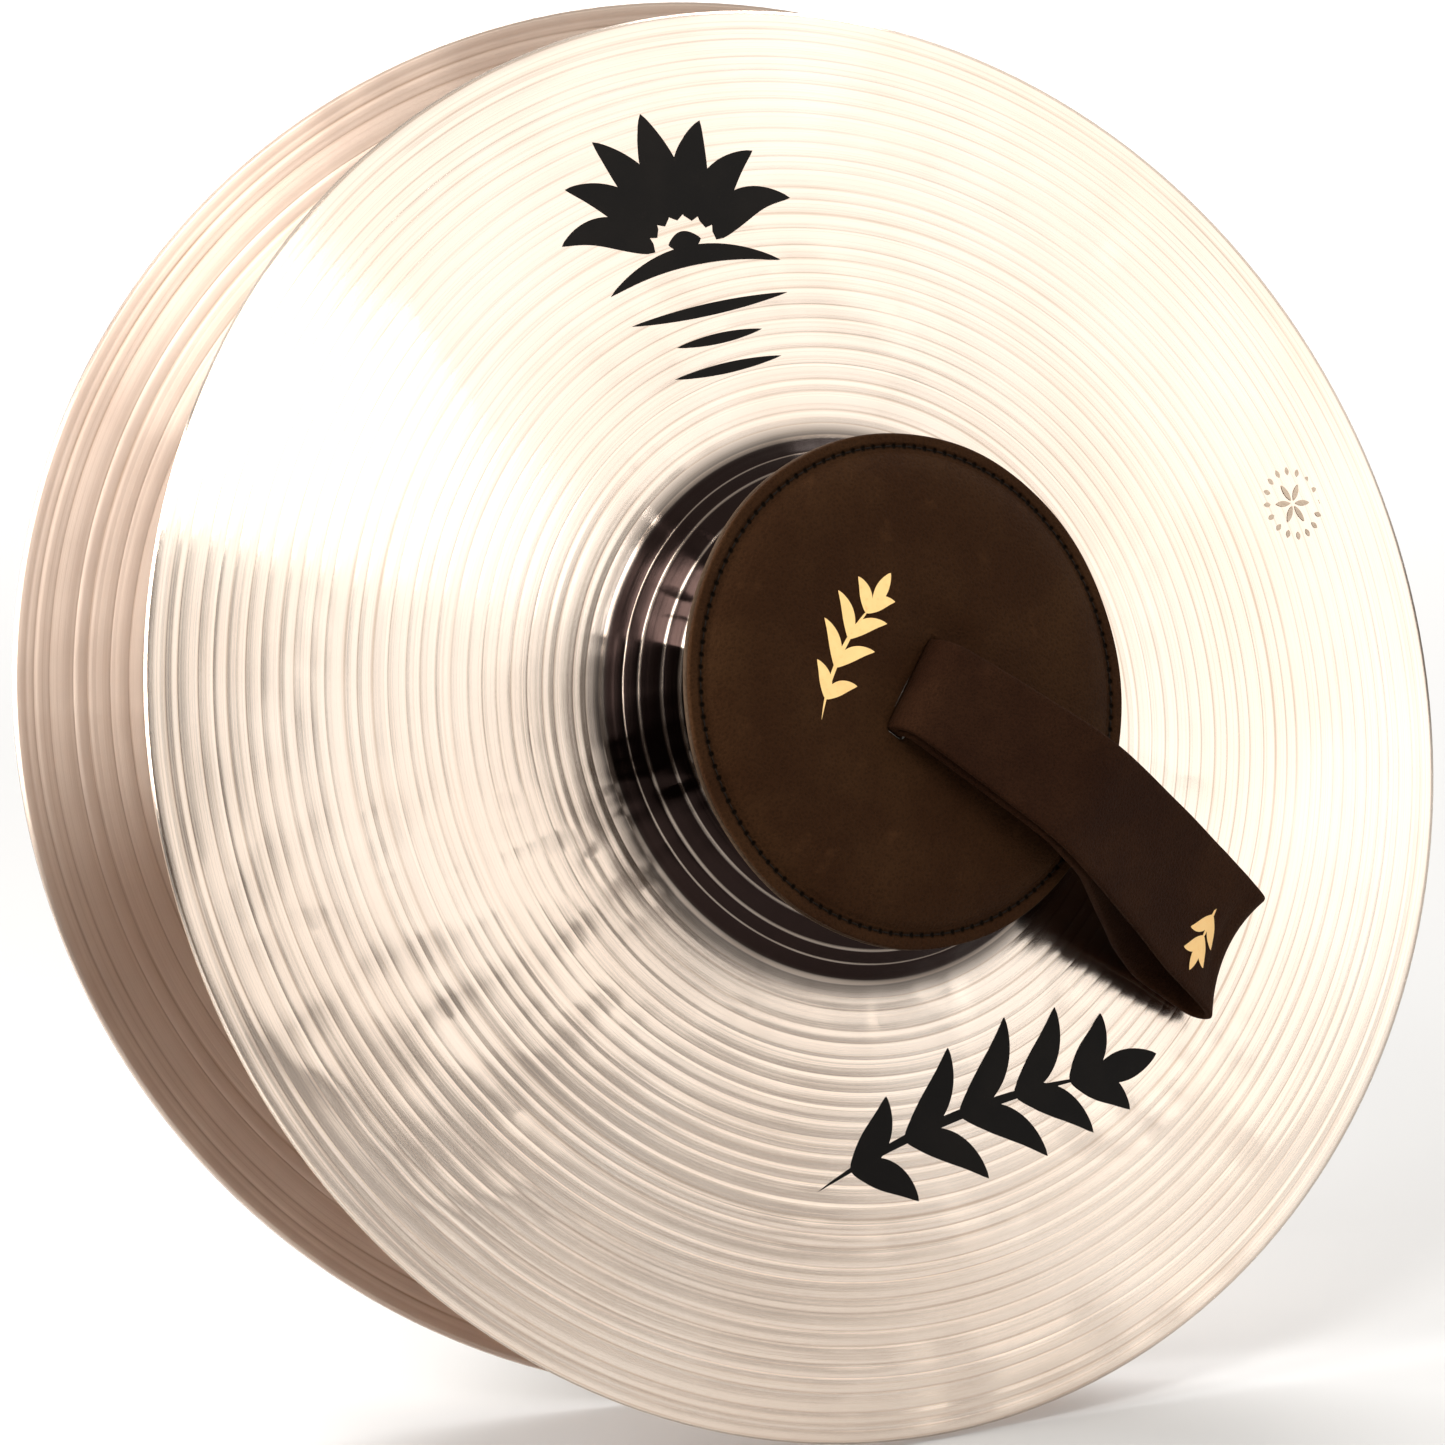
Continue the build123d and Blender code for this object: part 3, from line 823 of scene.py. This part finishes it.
for side in ("front", "rear"):
    turn, swing = joints[f"{side}_turn"], joints[f"{side}_swing"]
    axis = Vector(turn["axis"]).normalized()
    centre, root = Vector(turn["pos_m"]), Vector(swing["pos_m"])
    heading = axis.cross(Vector(swing["axis"])).normalized()
    hang = -math.radians(swing["range_deg"][0])
    level = Vector((1, 0, 0)) if side == "front" else Vector((0, 0, 1)).cross(axis).normalized()
    level = (level - axis * level.dot(axis)).normalized()
    seat = seat_matrix(centre, level, axis)
    pad_x = heading * math.cos(PAD_TILT) - axis * math.sin(PAD_TILT)
    pad_z = axis * math.cos(PAD_TILT) + heading * math.sin(PAD_TILT)
    pad_seat = seat_matrix(centre + axis * (PAD_HEIGHT * MM), pad_x, pad_z)
    loop_x = heading * math.cos(hang) + axis * math.sin(hang)
    loop_y = axis * math.cos(hang) - heading * math.sin(hang)
    loop_seat = Matrix((loop_x, loop_y, loop_x.cross(loop_y))).transposed().to_4x4()
    loop_seat.translation = root
    plate_body, handle, loop = f"{side}_plate", f"{side}_handle", f"{side}_loop"

    plate = finish_piece(make_plate(side, seat), None, plate_body)
    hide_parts(f"{side}_cymbal")
    for name, (shape, at, tilt) in PLATE_MARKS.items():
        mark = on_plate(f"{side}_mark_{name}", placed(shape, at, tilt), seat)
        finish_piece(mark, black_ink, plate_body)
    struck = on_plate(f"{side}_mark_struck", placed(stamp(), STRUCK_AT, 0), seat, lift=0.05)
    finish_piece(struck, struck_mark, plate_body)

    cover_leather = pad_leather(f"{side}_pad_leather", pad_seat)
    cover = finish_piece(make_pad(side, pad_seat, upper=True), cover_leather, handle)
    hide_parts(f"{side}_pad_cover")
    under = finish_piece(make_pad(side, pad_seat, upper=False), lining_leather, handle)
    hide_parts(f"{side}_pad_lining")
    stitches = finish_piece(make_stitches(side, pad_seat), seam_thread, handle)
    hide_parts(f"{side}_pad_stitching")

    v, f = PAD_BRANCH
    z = pad_top(np.hypot(v[:, 0], v[:, 1])) + PAD_BRANCH_LIFT + v[:, 2]
    foil = make_object(f"{side}_pad_mark", np.column_stack([v[:, :2], z]), f, pad_seat)
    finish_piece(foil, gold_foil, handle)

    strap = make_strap(side, loop_seat)
    strap.data.materials.append(strap_leather)
    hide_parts(f"{side}_strap_loop")
    end_mark = on_strap(f"{side}_strap_mark", STRAP_SPRIG, loop_seat, start=STRAP_SPRIG_AT)
    end_mark.data.materials.append(gold_foil)
    bend_from, bend_to = root + loop_x * (FOLD_FROM * MM), root + loop_x * (FOLD_TO * MM)
    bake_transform(strap)
    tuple(bend_from)
    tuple(bend_to)
    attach(end_mark, loop)

    dress_node(f"{side}_pad_core", core_felt)
    dress_node(f"{side}_strap_neck", strap_leather)
    for k in range(1, 5):
        dress_node(f"{side}_knot_tail_{k}", strap_leather)

# --- Stage: floor, sky and softboxes -------------------------------------------------------------
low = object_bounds()[0].z
FLOOR_GAP_M = 0.0002
bpy.ops.mesh.primitive_grid_add(x_subdivisions=40, y_subdivisions=40, size=60,
                                location=(0, 0, low - FLOOR_GAP_M))
floor = bpy.context.object
floor.name = "floor"
n = new_material("pale_floor")
n.set(Base_Color=n.mix(n.ramp(n.noise(n.coords(), 0.6, detail=2.0), 0.3, 0.7),
                       (0.44, 0.438, 0.436), (0.46, 0.459, 0.458)),
      Roughness=0.9, Specular_IOR_Level=0.1)
floor.data.materials.append(n.owner)

world = bpy.data.worlds.new("studio")
bpy.context.scene.world = world
w = Nodes(world)
ray = w.add("ShaderNodeTexCoord", {}).outputs["Generated"]
up = w.add("ShaderNodeSeparateXYZ", {0: ray}).outputs["Z"]


def near_direction(direction, inner, outer):
    """1 within `inner` degrees of a direction, 0 beyond `outer`."""
    d = w.vector_math("DOT_PRODUCT", ray, Vector(direction).normalized())
    return w.ramp(d.outputs["Value"], math.cos(math.radians(outer)), math.cos(math.radians(inner)))


# a dark horizon under a bright wall, a brighter band above it and a dimmer zenith
sky = w.mix(w.ramp(up, 0.10, 0.23), (0.06, 0.042, 0.033), (1.22, 1.19, 1.15))
sky = w.mix(w.ramp(up, 0.42, 0.70), sky, (1.42, 1.39, 1.34))
sky = w.mix(w.ramp(up, 0.80, 0.97), sky, (0.75, 0.73, 0.70))
# one bright card low on the right and two dark flags on the left, for the bronze to reflect
sky = w.mix(near_direction((0.84, -0.53, 0.10), 18, 30), sky, (1.5, 1.46, 1.40))
sky = w.mix(near_direction((-0.70, -0.49, 0.50), 36, 47), sky, (0.035, 0.024, 0.019))
sky = w.mix(near_direction((-0.80, 0.40, 0.10), 30, 42), sky, (0.05, 0.035, 0.03))
background = w.tree.nodes["Background"]
w.tree.links.new(sky, background.inputs["Color"])
background.inputs["Strength"].default_value = 1.0


def softbox(name, location, target, size, power, colour=(1, 1, 1)):
    """Square area light at a location in metres, aimed at a target."""
    data = bpy.data.lights.new(name, "AREA")
    data.shape, data.size, data.energy, data.color = "SQUARE", size, power, colour
    light = bpy.data.objects.new(name, data)
    bpy.context.scene.collection.objects.link(light)
    light.location = location
    light.rotation_euler = (Vector(target) - Vector(location)).to_track_quat("-Z", "Y").to_euler()


WARM_WHITE = (1.0, 0.985, 0.96)
softbox("key", (-0.30, -0.32, 0.56), (0, 0, 0.02), size=0.26, power=3.6, colour=WARM_WHITE)
softbox("side", (-0.64, 0.13, 0.22), (-0.06, 0.06, 0.02), size=0.40, power=8, colour=WARM_WHITE)
softbox("backdrop", (2.2, 3.8, 3.4), (1.6, 3.0, 0), size=3.6, power=440)

# --- Camera --------------------------------------------------------------------------------------
CAMERA_RIGHT, CAMERA_BACK = Vector((0.8854, -0.4648, 0.0)), Vector((-0.4563, -0.8691, 0.1908))
CAMERA_FROM_CYMBAL_M = Vector((-0.65102, -1.18693, 0.26162))
camera_data = bpy.data.cameras.new("camera")
camera_data.lens, camera_data.sensor_width = 139.5, 36.0
camera_data.clip_start, camera_data.clip_end = 0.05, 200
camera = bpy.data.objects.new("camera", camera_data)
bpy.context.scene.collection.objects.link(camera)
right, back = CAMERA_RIGHT.normalized(), CAMERA_BACK.normalized()
upward = back.cross(right).normalized()
pose = Matrix((right, upward, back)).transposed().to_4x4()
pose.translation = Vector(joints["front_turn"]["pos_m"]) + CAMERA_FROM_CYMBAL_M
camera.matrix_world = pose
bpy.context.scene.camera = camera
bpy.context.scene.view_settings.view_transform = "Standard"
